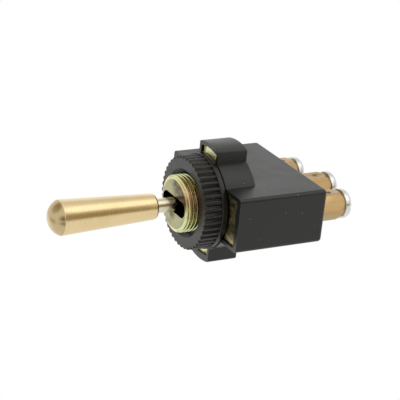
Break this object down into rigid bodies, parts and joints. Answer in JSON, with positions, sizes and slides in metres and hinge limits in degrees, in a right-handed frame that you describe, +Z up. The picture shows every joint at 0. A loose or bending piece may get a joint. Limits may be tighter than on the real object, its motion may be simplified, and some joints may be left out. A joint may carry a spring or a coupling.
{
  "type": "toggle switch",
  "caption": "Panel-mount toggle switch with a tapered brass lever, a threaded bush, a knurled ring nut and rear screw terminals; centre off.",
  "frame": {"origin": "on the bush's axis, in the plane where the panel's rear face seats on the housing", "axes": "-Y along the bush and lever, out of the panel; +Y to the terminals; X along the housing's wide way and the lever's swing; +Z up"},
  "size_m": [0.029, 0.066, 0.0255],
  "materials": {
    "black_plastic": "satin moulded black thermoset",
    "yellow_zinc": "steel, zinc plated and yellow passivated",
    "plated_steel": "steel, plated, turned",
    "knob_brass": "solid brass, fine turned",
    "white_nylon": "moulded insulating plastic",
    "spring_steel": "hard-drawn spring wire",
    "contact_brass": "brass sheet",
    "silver": "silver contact button",
    "post_brass": "hexagonal brass bar",
    "nickel_plate": "bright nickel plate"
  },
  "bodies": {
    "body": {"housing": "black_plastic", "mounting_plate": "yellow_zinc", "threaded_bush": "yellow_zinc", "ring_nut": "black_plastic", "pivot_pin": "plated_steel", "centre_contact": "contact_brass", "left_contact": "contact_brass", "right_contact": "contact_brass", "left_contact_tip": "silver", "right_contact_tip": "silver", "left_terminal_post": "post_brass", "centre_terminal_post": "post_brass", "right_terminal_post": "post_brass", "left_terminal_screw": "nickel_plate", "centre_terminal_screw": "nickel_plate", "right_terminal_screw": "nickel_plate"},
    "lever": {"lever_stem": "plated_steel", "lever_knob": "knob_brass", "plunger_spring": "spring_steel"},
    "plunger": {"plunger": "white_nylon"},
    "rocker": {"rocker_contact": "contact_brass", "rocker_left_tip": "silver", "rocker_right_tip": "silver"}
  },
  "joints": [
    {"name": "lever_tilt", "type": "hinge", "parent": "body", "child": "lever", "pos_m": [0, 0.0035, 0], "axis": [0, 0, 1], "range_deg": [-16, 16]},
    {"name": "rocker_tilt", "type": "hinge", "parent": "body", "child": "rocker", "pos_m": [0, 0.0154, 0], "axis": [0, 0, 1], "range_deg": [-10, 10]},
    {"name": "plunger_slide", "type": "slide", "parent": "lever", "child": "plunger", "axis": [0, 1, 0], "range_m": [-0.0006, 0], "stiffness_N_per_m": 400, "springref_m": 0.001, "deforming": ["plunger_spring"]}
  ],
  "couplings": [
    {"joint": "rocker_tilt", "follows": "lever_tilt", "ratio": -0.625}
  ]
}
